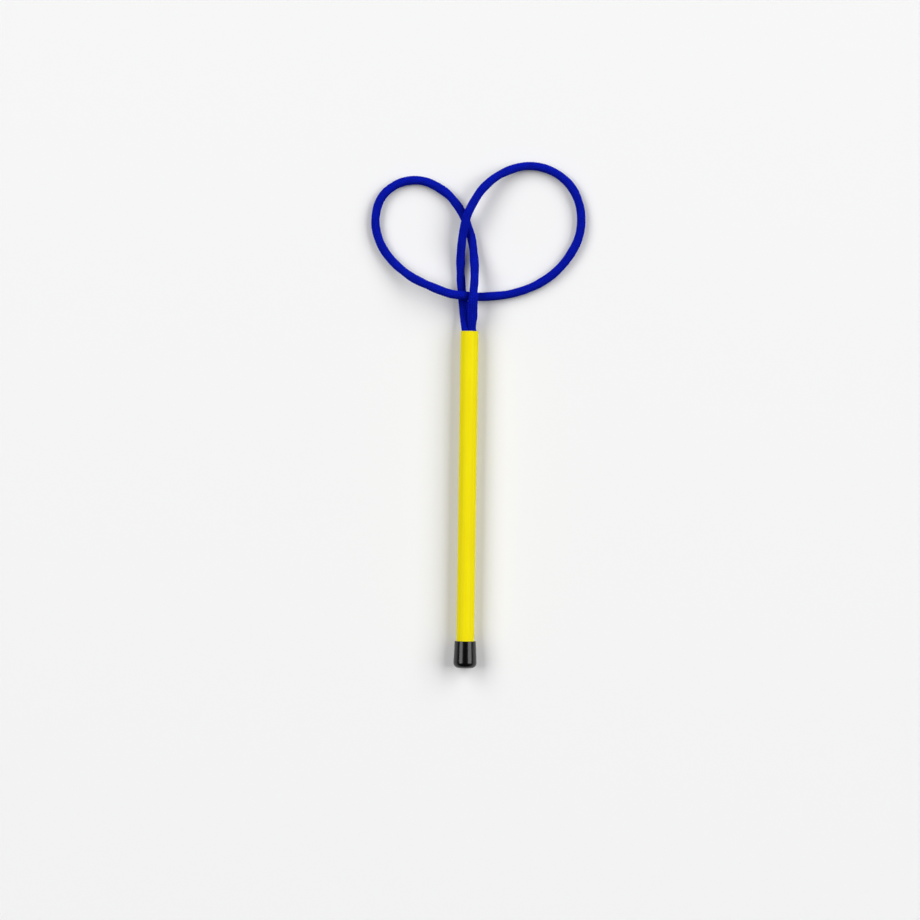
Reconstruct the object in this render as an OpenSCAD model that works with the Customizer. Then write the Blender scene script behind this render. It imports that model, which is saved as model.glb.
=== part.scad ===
// Bubble wand: a tube handle with a push-on end cap, and a two-lobed head made of one
// springy core inside a knitted sleeve that soaks up the bubble liquid.
// It lies flat. The handle runs along +Y, +Z is up, and the origin is the centre of the
// cap's flat end face, on the axis of the handle.

/* [Handle] */
// Outer diameter of the handle tube
tube_d = 11.5; // [11:0.5:14]
// Wall thickness of the handle tube
tube_wall = 1; // [0.8:0.1:1.3]
// Length of the handle tube from end to end
tube_len = 216; // [150:1:300]
// Rounding of the cut edges of the tube
tube_edge_r = 0.3; // [0.1:0.05:0.35]

/* [End cap] */
// Height of the end cap
cap_len = 17.5; // [14:0.5:24]
// Wall thickness of the cap at its open lip
cap_lip_wall = 1.1; // [0.6:0.05:1.4]
// How far the foot of the cap flares out past its lip
cap_flare = 0.6; // [0:0.1:1.5]
// Rounding of the edge of the foot
cap_foot_r = 3.4; // [0.8:0.1:3.6]
// Height of the straight band above the rounded foot
cap_band = 0.6; // [0.5:0.1:3]
// Thickness of the closed end of the cap
cap_floor = 3; // [2:0.5:4]
// Radial room between the tube and the cap
cap_fit = 0.05; // [0.02:0.01:0.1]

/* [Knitted sleeve] */
// Outer diameter of the sleeve
sleeve_d = 5.7; // [4.6:0.1:5.7]
// Inner diameter of the sleeve
sleeve_bore_d = 3; // [2.8:0.1:3.2]
// Length over which the sleeve swells from the tube's mouth to its full diameter
swell_len = 12; // [8:1:20]

/* [Springy core] */
// Diameter of the core
core_d = 2.5; // [2:0.1:2.6]

/* [Anchor plug] */
// Length of the plug that holds both ends of the core inside the tube
plug_len = 18; // [16:1:24]
// Number of ring barbs on the plug
plug_barbs = 4; // [2:1:5]
// Radial room between a barb and the bore of the tube
plug_fit = 0.05; // [0.02:0.01:0.1]

/* [Hidden] */

// Handle and cap
tube_r = tube_d / 2;
bore_r = tube_r - tube_wall;
mouth_y = cap_floor + tube_len;
cap_bore_r = tube_r + cap_fit;
cap_lip_r = cap_bore_r + cap_lip_wall;
cap_foot_outer_r = cap_lip_r + cap_flare;
cap_lip_edge = 0.3;
round_fn = 96;

// Two strands side by side in the mouth of the tube, squeezed to fit its bore
strand_gap = 0.5;
strand_room = 0.15;
mouth_sleeve_d = bore_r - strand_gap / 2 - strand_room;
strand_x = (mouth_sleeve_d + strand_gap) / 2;

// Depths below the mouth of the tube
straight_depth = 1;
sleeve_depth = 14;
core_depth = 28;
plug_top_room = 0.1;
plug_hole_room = 0.1;

// Plug
barb_h = 2;
barb_step = 0.35;
plug_r = bore_r - plug_fit - barb_step;
plug_hole_r = core_d / 2 + plug_hole_room;

// Route of the loop, [x, y above the tube's mouth, z from the handle's axis].
// It climbs the left stem, turns clockwise round the right lobe, threads under the right
// stem and over the left one, turns clockwise round the left lobe and comes down the right stem.
loop_route = [
    [-strand_x, -core_depth, 0],
    [-strand_x, -sleeve_depth, 0],
    [-strand_x, -straight_depth, 0],
    [-3.3, 8, -2], [-4.4, 19, -4.3], [-6, 32, -4.5], [-6.5, 46, -3], [-5.6, 59.5, 0.4],
    [-3.5, 72, 2.8], [0.5, 82, 2.9], [8, 93.5, 1.4], [20, 103, -1.2], [35.5, 108, -3.4],
    [51, 105.5, -4.3], [64, 96, -4.6], [70.8, 81.5, -4.6], [71, 65.5, -4.6], [65.5, 52, -4.6],
    [55.5, 39.5, -4.6], [42.5, 30.5, -4.6], [27.5, 25, -4.3], [13.5, 23, -3.7], [3, 22.5, -1.5],
    [-4.5, 23, 2.1], [-13.5, 24.2, 3.6], [-26.5, 29, 2.4], [-39.5, 35.5, -0.8], [-51.3, 45.5, -3.6],
    [-59.3, 57.5, -4.5], [-62.3, 72, -4.6], [-58.2, 86.8, -4.6], [-46.5, 96, -4.6],
    [-32, 97.5, -4.6], [-18, 91, -4.5], [-9.2, 82, -4.2], [-3.5, 72, -3.7], [0.5, 60, -3],
    [2.4, 46, -0.8], [2.7, 34, 3], [2, 22, 5.9], [1.7, 11, 3.2],
    [strand_x, -straight_depth, 0],
    [strand_x, -sleeve_depth, 0],
    [strand_x, -core_depth, 0]
];
rings_per_span = 2;
sleeve_sides = 12;
core_sides = 8;

// The sleeve leaves the first and the last span of the route to the bare core
loop_path = spline(loop_route, rings_per_span);
sleeve_path = [for (i = [rings_per_span : len(loop_path) - 1 - rings_per_span]) loop_path[i]];

// Least gap between strands that are far apart along the sleeve
gap_steps = 6;
gap_reach = 30;
gap_path = spline([for (i = [1 : len(loop_route) - 2]) loop_route[i]], gap_steps);
gap_run = run_lengths(gap_path);
sleeve_gap = min([
    for (i = [0 : len(gap_path) - 2])
        for (j = [i + 1 : len(gap_path) - 1])
            if (gap_run[j] - gap_run[i] > gap_reach)
                norm(gap_path[i] - gap_path[j]) - sleeve_r(gap_path[i]) - sleeve_r(gap_path[j])
]);
echo(str("Least gap of the sleeve to itself: ", sleeve_gap, " mm"));
echo(str("Length of the sleeve: ", gap_run[len(gap_run) - 1], " mm"));

function unit(v) = v / norm(v);

function ease(t) = let (u = min(1, max(0, t))) u * u * (3 - 2 * u);

// Radius of the sleeve at a point of the route: squeezed in the tube, full above the stem's foot
function sleeve_r(p) = (mouth_sleeve_d + (sleeve_d - mouth_sleeve_d) * ease(p[1] / swell_len)) / 2;

// Point of a smooth curve from b to c, with a and d as the points before and after
function span_point(a, b, c, d, t) =
    b
    + (c - a) * t / 2
    + (2 * a - 5 * b + 4 * c - d) * t * t / 2
    + (3 * b - a - 3 * c + d) * t * t * t / 2;

// Smooth curve through all points of p
function spline(p, steps) = [
    for (i = [0 : len(p) - 2])
        for (s = [0 : steps - 1])
            span_point(p[max(i - 1, 0)], p[i], p[i + 1], p[min(i + 2, len(p) - 1)], s / steps),
    p[len(p) - 1]
];

// Length along a path at each of its points
function run_lengths(p) = [
    for (i = 0, run = 0; i < len(p); i = i + 1, run = run + (i < len(p) ? norm(p[i] - p[i - 1]) : 0)) run
];

// Ring of points of radius r around point i of a path, square to the path
function ring(path, i, r, sides) =
    let (
        ahead = unit(path[min(i + 1, len(path) - 1)] - path[max(i - 1, 0)]),
        side = unit(cross(ahead, [0, 0, 1])),
        up = cross(side, ahead)
    )
    [for (k = [0 : sides - 1]) path[i] + r * (cos(360 * k / sides) * side + sin(360 * k / sides) * up)];

// Triangles of the wall between ring i and ring i + 1, with n points to a ring, from point k0
function wall(rings, stride, k0, n) = [
    for (i = [0 : rings - 2])
        for (k = [0 : n - 1])
            let (
                a = i * stride + k0 + k,
                b = i * stride + k0 + (k + 1) % n,
                c = a + stride,
                d = b + stride
            )
            each [[a, b, d], [a, d, c]]
];

function flipped(faces) = [for (f = faces) [f[0], f[2], f[1]]];

// Triangles of a ring-shaped end between the outer points from a0 and the inner ones from b0
function ring_end(a0, b0, n) = [
    for (k = [0 : n - 1])
        each [
            [a0 + k, b0 + k, b0 + (k + 1) % n],
            [a0 + k, b0 + (k + 1) % n, a0 + (k + 1) % n]
        ]
];

// Triangles of a closed end over the n points from a0
function disc_end(a0, n) = [for (k = [1 : n - 2]) [a0, a0 + k + 1, a0 + k]];

// Quarter of a disc of radius r that rounds a corner of a profile, turned from the upper right
module quarter(corner, r, turn) {
    translate(corner)
        rotate(turn)
            intersection() {
                circle(r, $fn = round_fn);
                square(r);
            }
}

// Stands a turned shape on the handle's axis with its base at height y
module on_axis(y) {
    translate([0, y, 0])
        rotate([-90, 0, 0])
            children();
}

// Extruded tube with softly rounded cut ends
module handle_tube() {
    e = tube_edge_r;
    color("gold")
        on_axis(cap_floor)
            rotate_extrude($fn = round_fn) {
                translate([bore_r, e])
                    square([tube_wall, tube_len - 2 * e]);
                translate([bore_r + e, 0])
                    square([tube_wall - 2 * e, tube_len]);
                quarter([tube_r - e, tube_len - e], e, 0);
                quarter([bore_r + e, tube_len - e], e, 90);
                quarter([bore_r + e, e], e, 180);
                quarter([tube_r - e, e], e, 270);
            }
}

// Push-on ferrule: a cup that tapers from its rounded foot to its lip
module end_cap() {
    e = cap_lip_edge;
    f = cap_foot_r;
    color("black")
        on_axis(0)
            rotate_extrude($fn = round_fn)
                difference() {
                    union() {
                        polygon([
                            [0, 0],
                            [cap_foot_outer_r - f, 0],
                            [cap_foot_outer_r - f, f],
                            [cap_foot_outer_r, f],
                            [cap_foot_outer_r, f + cap_band],
                            [cap_lip_r, cap_len - e],
                            [cap_lip_r - e, cap_len - e],
                            [cap_lip_r - e, cap_len],
                            [0, cap_len]
                        ]);
                        quarter([cap_foot_outer_r - f, f], f, 270);
                        quarter([cap_lip_r - e, cap_len - e], e, 0);
                    }
                    translate([0, cap_floor])
                        square([cap_bore_r, cap_len]);
                }
}

// Moulded plug with ring barbs that bite the bore, and a blind hole for each end of the core
module anchor_plug() {
    top = sleeve_depth + plug_top_room;
    barb_pitch = (plug_len - barb_h) / plug_barbs;
    hole_len = core_depth - top + plug_hole_room;
    color("ivory")
        on_axis(mouth_y - top - plug_len)
            difference() {
                rotate_extrude($fn = round_fn)
                    polygon(concat(
                        [[0, 0], [plug_r - barb_step, 0]],
                        [for (k = [0 : plug_barbs - 1]) each [
                            [plug_r, barb_h / 2 + k * barb_pitch],
                            [plug_r + barb_step, barb_h + k * barb_pitch],
                            [plug_r, barb_h + k * barb_pitch]
                        ]],
                        [[plug_r, plug_len], [0, plug_len]]
                    ));
                for (side = [-1, 1])
                    translate([side * strand_x, 0, plug_len - hole_len])
                        cylinder(r = plug_hole_r, h = hole_len + 1, $fn = round_fn);
            }
}

// Springy rod inside the sleeve, with both ends in the plug
module loop_core() {
    rings = len(loop_path);
    last = (rings - 1) * core_sides;
    color("gainsboro")
        translate([0, mouth_y, 0])
            polyhedron(
                [for (i = [0 : rings - 1]) each ring(loop_path, i, core_d / 2, core_sides)],
                concat(
                    wall(rings, core_sides, 0, core_sides),
                    disc_end(0, core_sides),
                    flipped(disc_end(last, core_sides))
                )
            );
}

// Hollow knitted sleeve around the core, one unbroken tube knotted into two lobes
module loop_sleeve() {
    rings = len(sleeve_path);
    stride = 2 * sleeve_sides;
    last = (rings - 1) * stride;
    color("mediumblue")
        translate([0, mouth_y, 0])
            polyhedron(
                [for (i = [0 : rings - 1]) each concat(
                    ring(sleeve_path, i, sleeve_r(sleeve_path[i]), sleeve_sides),
                    ring(sleeve_path, i, sleeve_bore_d / 2, sleeve_sides)
                )],
                concat(
                    wall(rings, stride, 0, sleeve_sides),
                    flipped(wall(rings, stride, sleeve_sides, sleeve_sides)),
                    ring_end(0, sleeve_sides, sleeve_sides),
                    flipped(ring_end(last, last + sleeve_sides, sleeve_sides))
                )
            );
}

handle_tube();
end_cap();
anchor_plug();
loop_core();
loop_sleeve();
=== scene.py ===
"""The looks of a bubble wand: its knitted loop, plastic handle and vinyl cap, with floor, light and camera.

All sizes are in metres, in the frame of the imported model: the handle lies along +Y and +Z is up.
"""

import math

import bpy
import numpy as np
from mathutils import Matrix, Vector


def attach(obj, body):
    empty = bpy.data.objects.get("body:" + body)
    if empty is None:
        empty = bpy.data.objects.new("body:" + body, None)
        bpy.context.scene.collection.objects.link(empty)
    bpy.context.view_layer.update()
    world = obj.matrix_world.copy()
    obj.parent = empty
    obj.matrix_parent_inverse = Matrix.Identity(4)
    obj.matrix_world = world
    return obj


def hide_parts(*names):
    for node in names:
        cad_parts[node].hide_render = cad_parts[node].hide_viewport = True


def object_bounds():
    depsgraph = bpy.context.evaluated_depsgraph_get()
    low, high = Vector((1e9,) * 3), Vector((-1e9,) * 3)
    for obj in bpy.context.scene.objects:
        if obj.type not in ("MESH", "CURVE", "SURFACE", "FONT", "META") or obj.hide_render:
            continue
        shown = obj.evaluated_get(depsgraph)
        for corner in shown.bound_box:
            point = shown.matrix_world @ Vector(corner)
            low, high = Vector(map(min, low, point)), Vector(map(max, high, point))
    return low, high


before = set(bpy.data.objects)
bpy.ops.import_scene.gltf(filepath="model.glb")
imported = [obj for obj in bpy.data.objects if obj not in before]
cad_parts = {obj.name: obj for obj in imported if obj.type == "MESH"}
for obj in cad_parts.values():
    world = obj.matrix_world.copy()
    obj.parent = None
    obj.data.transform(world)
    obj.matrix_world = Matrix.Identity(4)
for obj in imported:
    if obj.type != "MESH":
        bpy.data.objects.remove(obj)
cad_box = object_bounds()

# Camera straight above the wand
CAMERA_HEIGHT = 3.0
VIEW_WIDTH = 0.598
VIEW_CENTRE = (-0.00507, 0.13516)
VIEW_ROLL = math.radians(0.8)

# Route of the loop from one end of the core to the other, with y counted from the mouth of the tube
MOUTH_Y = 0.219
STRAND_X = 0.00233
STRAIGHT_DEPTH = 0.001
SLEEVE_DEPTH = 0.014
CORE_DEPTH = 0.028
ROUTE_ABOVE_MOUTH = [
    (-0.0033, 0.008, -0.002), (-0.0044, 0.019, -0.0043), (-0.006, 0.032, -0.0045),
    (-0.0065, 0.046, -0.003), (-0.0056, 0.0595, 0.0004), (-0.0035, 0.072, 0.0028),
    (0.0005, 0.082, 0.0029), (0.008, 0.0935, 0.0014), (0.02, 0.103, -0.0012), (0.0355, 0.108, -0.0034),
    (0.051, 0.1055, -0.0043), (0.064, 0.096, -0.0046), (0.0708, 0.0815, -0.0046),
    (0.071, 0.0655, -0.0046), (0.0655, 0.052, -0.0046), (0.0555, 0.0395, -0.0046),
    (0.0425, 0.0305, -0.0046), (0.0275, 0.025, -0.0043), (0.0135, 0.023, -0.0037),
    (0.003, 0.0225, -0.0015), (-0.0045, 0.023, 0.0021), (-0.0135, 0.0242, 0.0036),
    (-0.0265, 0.029, 0.0024), (-0.0395, 0.0355, -0.0008), (-0.0513, 0.0455, -0.0036),
    (-0.0593, 0.0575, -0.0045), (-0.0623, 0.072, -0.0046), (-0.0582, 0.0868, -0.0046),
    (-0.0465, 0.096, -0.0046), (-0.032, 0.0975, -0.0046), (-0.018, 0.091, -0.0045),
    (-0.0092, 0.082, -0.0042), (-0.0035, 0.072, -0.0037), (0.0005, 0.06, -0.003),
    (0.0024, 0.046, -0.0008), (0.0027, 0.034, 0.003), (0.002, 0.022, 0.0059), (0.0017, 0.011, 0.0032),
]
LOOP_ROUTE = [
    (-STRAND_X, -CORE_DEPTH, 0), (-STRAND_X, -SLEEVE_DEPTH, 0), (-STRAND_X, -STRAIGHT_DEPTH, 0),
    *ROUTE_ABOVE_MOUTH,
    (STRAND_X, -STRAIGHT_DEPTH, 0), (STRAND_X, -SLEEVE_DEPTH, 0), (STRAND_X, -CORE_DEPTH, 0),
]
CURVE_STEPS = 400

# Lean of both strands towards -X where they leave the tube
LEAN = -0.0005
LEAN_SPAN = {"start": -0.0008, "rise": 0.002, "fall": 0.008, "end": 0.0105}

# Cross-section of the sleeve: round, but squeezed to an oval in the tube
SLEEVE_R = 0.00285
BORE_R = 0.0015
MOUTH_HALF_WIDTH = 0.00233
MOUTH_HALF_HEIGHT = 0.0032
SWELL_START = -0.0015
SWELL_LEN = 0.0095

# Slack knit that is bunched up above the mouth
BUNCH = 0.00035
BUNCH_SPAN = {"start": 0.006, "rise": 0.005, "fall": 0.006, "end": 0.027}

# Bulge of the two strands towards each other at the mouth
PRESS = 0.00028
PRESS_SPAN = {"start": -0.003, "rise": 0.003, "fall": 0.005, "end": 0.010}

# Slow unevenness of the sleeve's width
LUMP = 0.00009
LUMP_PITCH = 0.006
LUMP_SEED = 11

# Stitches: wales run along the sleeve and courses round it
WALES = 8
SAMPLES_PER_WALE = 6
COURSE_PITCH = 0.0018
SAMPLES_PER_COURSE = 6
STITCH_DEPTH = 0.00034
STITCH_RISE = 0.85
HEIGHT_BETWEEN_LEGS = 0.12
HEIGHT_BETWEEN_COURSES = 0.1
LEG_FULLNESS = 0.5
COURSE_FULLNESS = 0.6
UNEVEN_HEIGHT = 0.12
UNEVEN_SEED = 7
WALE_TURN_LEN = 0.25
CUT_END_LEN = 0.006
BORE_SIDES = 12
BORE_RING_STEP = 0.003

# Springy core
CORE_R = 0.00125
CORE_SIDES = 16
CORE_RING_STEP = 0.0015

# Colours of the materials, each from its dark to its light tone
YELLOW = ((0.87, 0.72, 0.002), (0.93, 0.81, 0.003))
BLACK = ((0.0015, 0.0015, 0.002), (0.003, 0.003, 0.0035))
PLUG_CREAM = ((0.66, 0.62, 0.5), (0.76, 0.73, 0.62))
CORE_GREY = ((0.64, 0.65, 0.66), (0.75, 0.76, 0.77))
# The blue's darkest colour is painted shade between the stitches and its lightest is painted light on the
# stitch tops, mixed with the yarn's own blue
BLUE_YARN_AND_PAINTED_SHADE = ((0.0005, 0.002, 0.1), (0.002, 0.0078, 0.37), (0.0036, 0.0145, 0.58))

# Places of these tones on their colour ramps
NOISE_STOPS = (0.3, 0.7)
YARN_STOPS = (0.12, 0.5, 0.95)

# Depth of all bumps, make-up of the yarn, and the share of painted shade between the stitches
BUMP_DEPTH = 0.0002
YARN_PAINTED_SHADE_SHARE = 0.8
YARN_DYE_SHARE = 0.3
YARN_TWIST_SHARE = 0.25
LEGS_PER_WALE = 2.0
TWISTS_PER_LEG = 4.0
TWISTS_PER_COURSE = 2.0

# Pale floor under the wand
FLOOR_SIZE = 12.0
FLOOR_GAP = 0.00003
FLOOR_SHOWN = 0.92
FLOOR_BOUNCE = 0.45
FLOOR_ROUGHNESS = 0.9

# Two long soft boxes above the sides of the wand, at angles from straight up towards +X
BOX_DISTANCE = 12.0
BOX_NEAR_END = -2.0
BOX_FAR_END = 14.0
LEFT_BOX_ANGLE = math.radians(-44)
RIGHT_BOX_ANGLE = math.radians(49)
LEFT_BOX_SPREAD = math.radians(32)
RIGHT_BOX_SPREAD = math.radians(37)
BOX_RADIANCE = 4.4

# Room light, by the upward part of its direction
HORIZON_LIGHT = 0.85
ZENITH_LIGHT = 0.03
HORIZON_FADE = 0.2


def make_camera():
    data = bpy.data.cameras.new("camera")
    data.angle = 2 * math.atan(VIEW_WIDTH / 2 / CAMERA_HEIGHT)
    camera = bpy.data.objects.new("camera", data)
    camera.location = (*VIEW_CENTRE, CAMERA_HEIGHT)
    camera.rotation_euler = (0, 0, VIEW_ROLL)
    bpy.context.scene.collection.objects.link(camera)
    bpy.context.scene.camera = camera


def ease(t):
    u = np.clip(t, 0, 1)
    return u * u * (3 - 2 * u)


def hump(y, start, rise, fall, end):
    """A smooth rise from 0 to 1 above start and a smooth fall to 0 before end."""
    return ease((y - start) / rise) * ease((end - y) / fall)


def smooth_curve(points, steps):
    """Points of the Catmull-Rom curve through all the given points."""
    p = np.array(points, float)
    before = np.vstack([p[:1], p[:-2]])
    after = np.vstack([p[2:], p[-1:]])
    t = np.arange(steps)[:, None] / steps
    spans = [
        b + (c - a) * t / 2 + (2 * a - 5 * b + 4 * c - d) * t**2 / 2 + (3 * b - a - 3 * c + d) * t**3 / 2
        for a, b, c, d in zip(before, p[:-1], p[1:], after)
    ]
    return np.vstack(spans + [p[-1:]])


class CentreLine:
    """A curve that gives its points and cross directions at any distance along it."""

    def __init__(self, points):
        self.points = points
        self.run = np.concatenate([[0], np.cumsum(np.linalg.norm(np.diff(points, axis=0), axis=1))])
        self.ahead = np.gradient(points, self.run, axis=0)

    def _at(self, values, run):
        return np.stack([np.interp(run, self.run, values[:, axis]) for axis in range(3)], axis=-1)

    def at(self, run):
        """Points at these distances, with the level and the upright direction across the curve."""
        ahead = self._at(self.ahead, run)
        ahead /= np.linalg.norm(ahead, axis=-1, keepdims=True)
        level = np.cross(ahead, (0, 0, 1))
        level /= np.linalg.norm(level, axis=-1, keepdims=True)
        return self._at(self.points, run), level, np.cross(level, ahead)


def loop_lines():
    """The centre lines of the core and of the sleeve, which leaves both ends of the core bare."""
    points = smooth_curve(LOOP_ROUTE, CURVE_STEPS)
    points[:, 0] += LEAN * hump(points[:, 1], **LEAN_SPAN)
    points[:, 1] += MOUTH_Y
    return CentreLine(points), CentreLine(points[CURVE_STEPS:-CURVE_STEPS])


def lumps(run):
    """Slow unevenness of the sleeve's half width along its length."""
    count = int(run.max() / LUMP_PITCH) + 2
    heights = smooth_curve(np.random.default_rng(LUMP_SEED).normal(0, LUMP, (count, 1)), CURVE_STEPS)
    place = np.arange(len(heights)) * LUMP_PITCH / CURVE_STEPS
    return np.interp(run, place, heights[:, 0])


def half_sizes(run, above_mouth):
    """Half width and half height of the sleeve."""
    swell = ease((above_mouth - SWELL_START) / SWELL_LEN)
    slack = BUNCH * hump(above_mouth, **BUNCH_SPAN)
    half_width = MOUTH_HALF_WIDTH + (SLEEVE_R + lumps(run) - MOUTH_HALF_WIDTH) * swell + slack
    half_height = MOUTH_HALF_HEIGHT + (SLEEVE_R - MOUTH_HALF_HEIGHT) * swell
    return half_width, half_height


def stitch_height(across, along):
    """Height of a knit stitch from 0 to 1: two slanting legs of yarn that dive under at both ends.
    across is the place in the wale, from -0.5 to 0.5, and along the place in the course, from 0 to 1."""
    leg = np.abs(np.sin(2 * np.pi * across)) ** LEG_FULLNESS
    course = np.sin(np.pi * along) ** COURSE_FULLNESS
    leg_height = HEIGHT_BETWEEN_LEGS + (1 - HEIGHT_BETWEEN_LEGS) * leg
    course_height = HEIGHT_BETWEEN_COURSES + (1 - HEIGHT_BETWEEN_COURSES) * course
    return leg_height * course_height


def knit_surface(line):
    """Points and stitch heights of the sleeve's outer surface, ring by ring."""
    length = line.run[-1]
    sides = WALES * SAMPLES_PER_WALE
    courses = round(length / COURSE_PITCH)
    rings = courses * SAMPLES_PER_COURSE + 1
    ring = np.arange(rings)[:, None]
    side = np.arange(sides)[None, :]
    across = (side % SAMPLES_PER_WALE) / SAMPLES_PER_WALE - 0.5
    along = (ring % SAMPLES_PER_COURSE) / SAMPLES_PER_COURSE
    uneven = np.random.default_rng(UNEVEN_SEED).normal(1, UNEVEN_HEIGHT, (courses + 1, 2 * WALES))
    leg_uneven = uneven[ring // SAMPLES_PER_COURSE, side // (SAMPLES_PER_WALE // 2)]
    height = np.clip(stitch_height(across, along) * leg_uneven, 0, 1)

    # The legs of a stitch slant, but not at the cut ends of the sleeve
    base_run = ring / (rings - 1) * length
    end_fade = ease(np.minimum(base_run, length - base_run) / CUT_END_LEN)
    run = base_run + end_fade * STITCH_RISE * COURSE_PITCH * (2 * np.abs(across) - 0.5)
    above_mouth = np.minimum(run, length - run) - SLEEVE_DEPTH

    # The level direction points from each strand to the other one at the mouth
    points, level, upright = line.at(run)
    angle = 2 * np.pi * (side / sides + run / WALE_TURN_LEN)
    across_axis = np.cos(angle)
    half_width, half_height = half_sizes(run, above_mouth)
    bulge = PRESS * hump(above_mouth, **PRESS_SPAN) * (across_axis > 0)
    sunk = STITCH_DEPTH * (1 - height)
    outer = (
        points
        + ((half_width + bulge - sunk) * across_axis)[..., None] * level
        + ((half_height - sunk) * np.sin(angle))[..., None] * upright
    )
    return outer, height


def round_tube(line, radius, sides, ring_step):
    """Points of a plain round tube along a line, ring by ring."""
    rings = round(line.run[-1] / ring_step) + 1
    run = np.linspace(0, line.run[-1], rings)[:, None] + np.zeros((1, sides))
    points, level, upright = line.at(run)
    angle = 2 * np.pi * (np.arange(sides)[None, :] / sides + run / WALE_TURN_LEN)
    return points + radius * (np.cos(angle)[..., None] * level + np.sin(angle)[..., None] * upright)


def grid_quads(rings, sides, first):
    """Quads between neighbouring rings of a tube whose points start at first."""
    ring = np.arange(rings - 1)[:, None]
    side = np.arange(sides)[None, :]
    here = first + ring * sides + side
    beside = first + ring * sides + (side + 1) % sides
    return np.stack([here, beside, beside + sides, here + sides], axis=-1).reshape(-1, 4)


def end_faces(outer_first, outer_sides, inner_first, inner_sides):
    """Faces of a cut end, from the outer ring to the inner one."""
    share = outer_sides // inner_sides
    faces = []
    for k in range(inner_sides):
        inner = inner_first + k
        for j in range(k * share, (k + 1) * share):
            faces.append((outer_first + j, inner, outer_first + (j + 1) % outer_sides))
        following = outer_first + (k + 1) * share % outer_sides
        faces.append((inner, inner_first + (k + 1) % inner_sides, following))
    return faces


def make_piece(name, points, faces):
    """A smooth-shaded mesh object in the scene."""
    mesh = bpy.data.meshes.new(name)
    mesh.from_pydata(points.reshape(-1, 3).tolist(), [], faces)
    mesh.shade_smooth()
    piece = bpy.data.objects.new(name, mesh)
    bpy.context.scene.collection.objects.link(piece)
    return piece


def make_core(line):
    points = round_tube(line, CORE_R, CORE_SIDES, CORE_RING_STEP)
    last = (len(points) - 1) * CORE_SIDES
    start = list(range(CORE_SIDES))[::-1]
    finish = list(range(last, last + CORE_SIDES))
    faces = grid_quads(len(points), CORE_SIDES, 0).tolist() + [start, finish]
    return make_piece("core_rod", points, faces)


def make_sleeve(line):
    outer, height = knit_surface(line)
    inner = round_tube(line, BORE_R, BORE_SIDES, BORE_RING_STEP)
    rings, sides = height.shape
    inner_rings = len(inner)
    inner_first = rings * sides
    last_outer = inner_first - sides
    last_inner = inner_first + (inner_rings - 1) * BORE_SIDES
    outer_quads = grid_quads(rings, sides, 0)
    inner_quads = grid_quads(inner_rings, BORE_SIDES, inner_first)[:, ::-1]
    start = end_faces(0, sides, inner_first, BORE_SIDES)
    finish = [face[::-1] for face in end_faces(last_outer, sides, last_inner, BORE_SIDES)]
    points = np.vstack([outer.reshape(-1, 3), inner.reshape(-1, 3)])
    faces = outer_quads.tolist() + inner_quads.tolist() + start + finish
    sleeve = make_piece("knit_sleeve", points, faces)
    keep_relief(sleeve.data, height)
    place_in_knit(sleeve.data, rings, sides)
    return sleeve


def keep_relief(mesh, height):
    """Point attribute with the stitch heights, which are 0 in the bore."""
    values = np.zeros(len(mesh.vertices), np.float32)
    values[:height.size] = height.ravel()
    mesh.attributes.new("relief", "FLOAT", "POINT").data.foreach_set("value", values)


def place_in_knit(mesh, rings, sides):
    """UV map of the knit: u counts the wales and v the courses."""
    ring = np.arange(rings - 1)[:, None]
    side = np.arange(sides)[None, :]
    corner_side = np.stack([side, side + 1, side + 1, side], axis=-1) + 0 * ring[..., None]
    corner_ring = np.stack([ring, ring, ring + 1, ring + 1], axis=-1) + 0 * side[..., None]
    uv = np.zeros((len(mesh.loops), 2), np.float32)
    uv[:corner_side.size, 0] = corner_side.ravel() / SAMPLES_PER_WALE
    uv[:corner_ring.size, 1] = corner_ring.ravel() / SAMPLES_PER_COURSE
    mesh.uv_layers.new(name="knit").uv.foreach_set("vector", uv.ravel())


class Nodes:
    """Adds and links the nodes of one node tree."""

    def __init__(self, tree):
        self.tree = tree

    def add(self, kind, inputs=None, **settings):
        node = self.tree.nodes.new("ShaderNode" + kind)
        for name, value in settings.items():
            setattr(node, name, value)
        for socket, value in (inputs or {}).items():
            self.feed(node.inputs[socket], value)
        return node

    def feed(self, socket, value):
        """Links an output to a socket, or sets the socket to a plain value."""
        if isinstance(value, bpy.types.NodeSocket):
            self.tree.links.new(value, socket)
        else:
            socket.default_value = value


class Material(Nodes):
    """A node material around one Principled shader."""

    def __init__(self, name):
        self.data = bpy.data.materials.new(name)
        self.data.use_nodes = True
        super().__init__(self.data.node_tree)

    def surface(self, **inputs):
        """Feeds the shader's sockets, whose names have spaces for underscores."""
        shader = self.tree.nodes["Principled BSDF"]
        for name, value in inputs.items():
            self.feed(shader.inputs[name.replace("_", " ")], value)

    def math(self, operation, *values):
        return self.add("Math", dict(enumerate(values)), operation=operation).outputs[0]

    def mean(self, first, second):
        return self.math("MULTIPLY", self.math("ADD", first, second), 0.5)

    def noise(self, scale, detail, roughness=0.5):
        """Noise in the object's own coordinates, scaled along each axis."""
        place = self.add("TexCoord").outputs["Object"]
        stretched = self.add("Mapping", {"Vector": place, "Scale": scale}).outputs["Vector"]
        inputs = {"Vector": stretched, "Scale": 1.0, "Detail": detail, "Roughness": roughness}
        return self.add("TexNoise", inputs).outputs["Fac"]

    def ramp(self, factor, positions, colours):
        node = self.add("ValToRGB", {"Fac": factor})
        elements = node.color_ramp.elements
        while len(elements) < len(positions):
            elements.new(1.0)
        for element, position, colour in zip(elements, positions, colours):
            element.position = position
            element.color = (*colour, 1)
        return node.outputs["Color"]

    def span(self, factor, low, high):
        return self.add("MapRange", {"Value": factor, "To Min": low, "To Max": high}).outputs["Result"]

    def bump(self, height, strength):
        inputs = {"Height": height, "Strength": strength, "Distance": BUMP_DEPTH}
        return self.add("Bump", inputs).outputs["Normal"]


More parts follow.
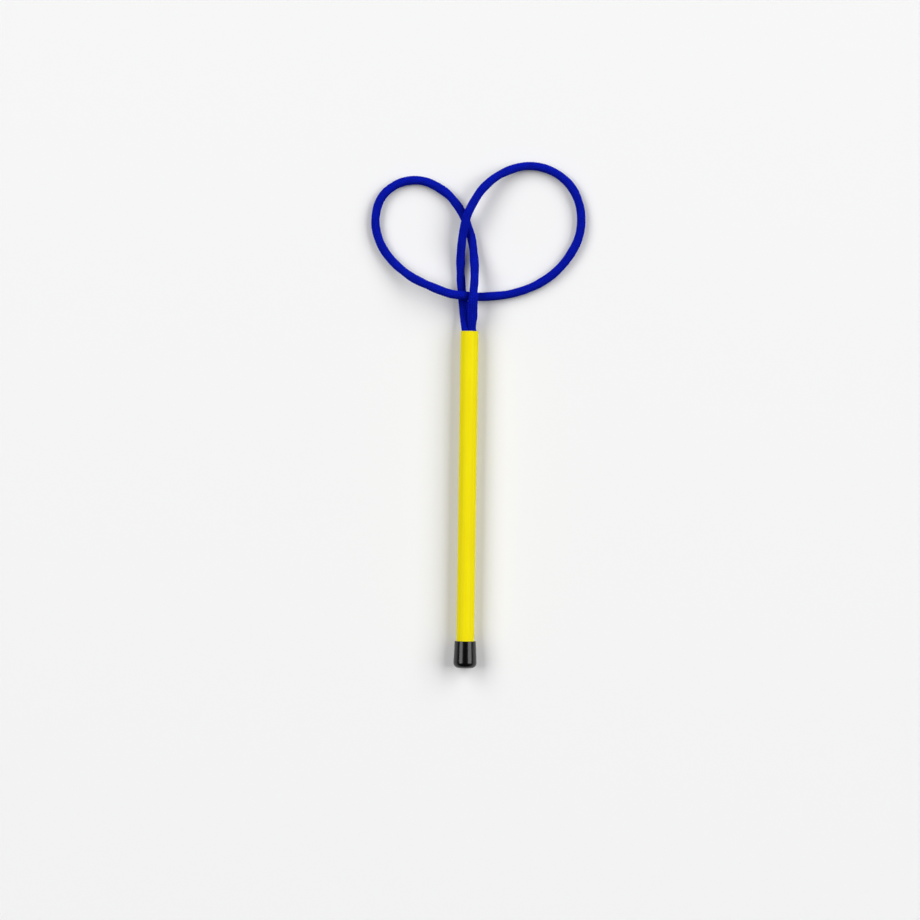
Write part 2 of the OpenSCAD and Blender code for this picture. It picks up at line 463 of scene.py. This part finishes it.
def yellow_plastic():
    """Satin extruded tube with faint drawing lines along it."""
    m = Material("yellow_plastic")
    lines = m.noise(scale=(900, 12, 900), detail=3.0)
    clouds = m.noise(scale=(60, 25, 60), detail=2.0)
    m.surface(
        Base_Color=m.ramp(m.mean(lines, clouds), NOISE_STOPS, YELLOW),
        Roughness=m.span(clouds, low=0.5, high=0.6),
        Normal=m.bump(lines, strength=0.12),
        Specular_IOR_Level=0.07,
    )
    return m.data


def black_vinyl():
    """Smooth moulded vinyl with a faint uneven gloss."""
    m = Material("black_vinyl")
    clouds = m.noise(scale=(90, 60, 90), detail=3.0)
    grain = m.noise(scale=(700, 700, 700), detail=2.0)
    m.surface(
        Base_Color=m.ramp(clouds, NOISE_STOPS, BLACK),
        Roughness=m.span(clouds, low=0.16, high=0.24),
        Normal=m.bump(grain, strength=0.08),
        Specular_IOR_Level=0.4,
    )
    return m.data


def plain_plastic(name, tones):
    """Moulded or drawn plastic with a slightly cloudy tone."""
    m = Material(name)
    clouds = m.noise(scale=(150, 80, 150), detail=3.0)
    m.surface(
        Base_Color=m.ramp(clouds, NOISE_STOPS, tones),
        Roughness=m.span(clouds, low=0.4, high=0.55),
        Normal=m.bump(clouds, strength=0.1),
    )
    return m.data


def blue_knit():
    """Matte dyed yarn, with painted shade that makes it dark between the stitches, and with the twist of
    the yarn and loose fibres.
    """
    m = Material("blue_knit")
    relief = m.add("Attribute", attribute_name="relief").outputs["Fac"]
    dye = m.noise(scale=(220, 220, 220), detail=2.0)
    fibres = m.noise(scale=(2600, 2600, 2600), detail=3.0, roughness=0.65)
    # Colour: random dye plus painted shade from the stitch heights, darker between the stitches and lighter
    # on their tops
    tone = m.math("MULTIPLY_ADD", dye, YARN_DYE_SHARE, m.math("MULTIPLY", relief, YARN_PAINTED_SHADE_SHARE))
    place = m.add("UVMap", uv_map="knit").outputs["UV"]
    knit = m.add("SeparateXYZ", {0: place}).outputs
    leg = m.math("FRACT", m.math("MULTIPLY", knit["X"], LEGS_PER_WALE))
    leg_turns = m.math("MULTIPLY", leg, TWISTS_PER_LEG)
    turns = m.math("ADD", leg_turns, m.math("MULTIPLY", knit["Y"], TWISTS_PER_COURSE))
    twist = m.math("SINE", m.math("MULTIPLY", turns, 2 * math.pi))
    yarn = m.math("ADD", m.math("MULTIPLY", twist, YARN_TWIST_SHARE), fibres)
    m.surface(
        Base_Color=m.ramp(tone, YARN_STOPS, BLUE_YARN_AND_PAINTED_SHADE),
        Roughness=m.span(fibres, low=0.75, high=0.95),
        Normal=m.bump(yarn, strength=0.35),
        Specular_IOR_Level=0.03,
    )
    return m.data


def stand_in(piece, node, material):
    """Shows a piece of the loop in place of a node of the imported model."""
    piece.data.materials.append(material)
    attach(piece, "wand")
    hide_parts(node)


def dress(node, material):
    """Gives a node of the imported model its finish."""
    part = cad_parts[node]
    part.data.materials.clear()
    part.data.materials.append(material)


def make_floor():
    """A floor that looks pale to the eye and in mirrored or clear surfaces, and bounces less light."""
    half = FLOOR_SIZE / 2
    z = cad_box[0][2] - FLOOR_GAP
    corners = [(-half, -half, z), (half, -half, z), (half, half, z), (-half, half, z)]
    mesh = bpy.data.meshes.new("floor")
    mesh.from_pydata(corners, [], [(0, 1, 2, 3)])
    floor = bpy.data.objects.new("floor", mesh)
    bpy.context.scene.collection.objects.link(floor)
    m = Material("floor")
    rays = m.add("LightPath").outputs
    mirrored = m.math("MAXIMUM", rays["Is Glossy Ray"], rays["Is Transmission Ray"])
    shown = m.math("MAXIMUM", rays["Is Camera Ray"], mirrored)
    m.surface(
        Base_Color=m.span(shown, low=FLOOR_BOUNCE, high=FLOOR_SHOWN),
        Roughness=FLOOR_ROUGHNESS,
        Specular_IOR_Level=0.0,
    )
    mesh.materials.append(m.data)


def make_soft_box(name, angle, spread):
    """A long soft box above one side of the wand, spread this wide as seen from the wand."""
    data = bpy.data.lights.new(name, "AREA")
    data.shape = "RECTANGLE"
    data.size = 2 * BOX_DISTANCE * math.tan(spread / 2)
    data.size_y = BOX_FAR_END - BOX_NEAR_END
    data.energy = BOX_RADIANCE * math.pi * data.size * data.size_y
    light = bpy.data.objects.new(name, data)
    light.location = (
        VIEW_CENTRE[0] + BOX_DISTANCE * math.sin(angle),
        VIEW_CENTRE[1] + (BOX_NEAR_END + BOX_FAR_END) / 2,
        BOX_DISTANCE * math.cos(angle),
    )
    light.rotation_euler = (0, angle, 0)
    light.visible_camera = False
    bpy.context.scene.collection.objects.link(light)


def make_world():
    """Low room light, pale at the horizon and dark overhead."""
    world = bpy.data.worlds.new("room")
    world.use_nodes = True
    bpy.context.scene.world = world
    nodes = Nodes(world.node_tree)
    direction = nodes.add("TexCoord").outputs["Generated"]
    upward = nodes.add("SeparateXYZ", {0: direction}).outputs["Z"]
    fade = {"From Min": 0.0, "From Max": HORIZON_FADE, "To Min": HORIZON_LIGHT, "To Max": ZENITH_LIGHT}
    level = nodes.add("MapRange", {"Value": upward, **fade}, interpolation_type="SMOOTHSTEP")
    background = world.node_tree.nodes["Background"]
    nodes.feed(background.inputs["Color"], (1, 1, 1, 1))
    nodes.feed(background.inputs["Strength"], level.outputs["Result"])


# Pieces of the wand
core_line, sleeve_line = loop_lines()
stand_in(make_sleeve(sleeve_line), "loop_sleeve", blue_knit())
stand_in(make_core(core_line), "loop_core", plain_plastic("core_plastic", CORE_GREY))
dress("handle_tube", yellow_plastic())
dress("end_cap", black_vinyl())
dress("anchor_plug", plain_plastic("plug_plastic", PLUG_CREAM))

# Stage, light and camera
make_floor()
make_soft_box("left_box", LEFT_BOX_ANGLE, LEFT_BOX_SPREAD)
make_soft_box("right_box", RIGHT_BOX_ANGLE, RIGHT_BOX_SPREAD)
make_world()
make_camera()
bpy.context.scene.view_settings.view_transform = "Standard"
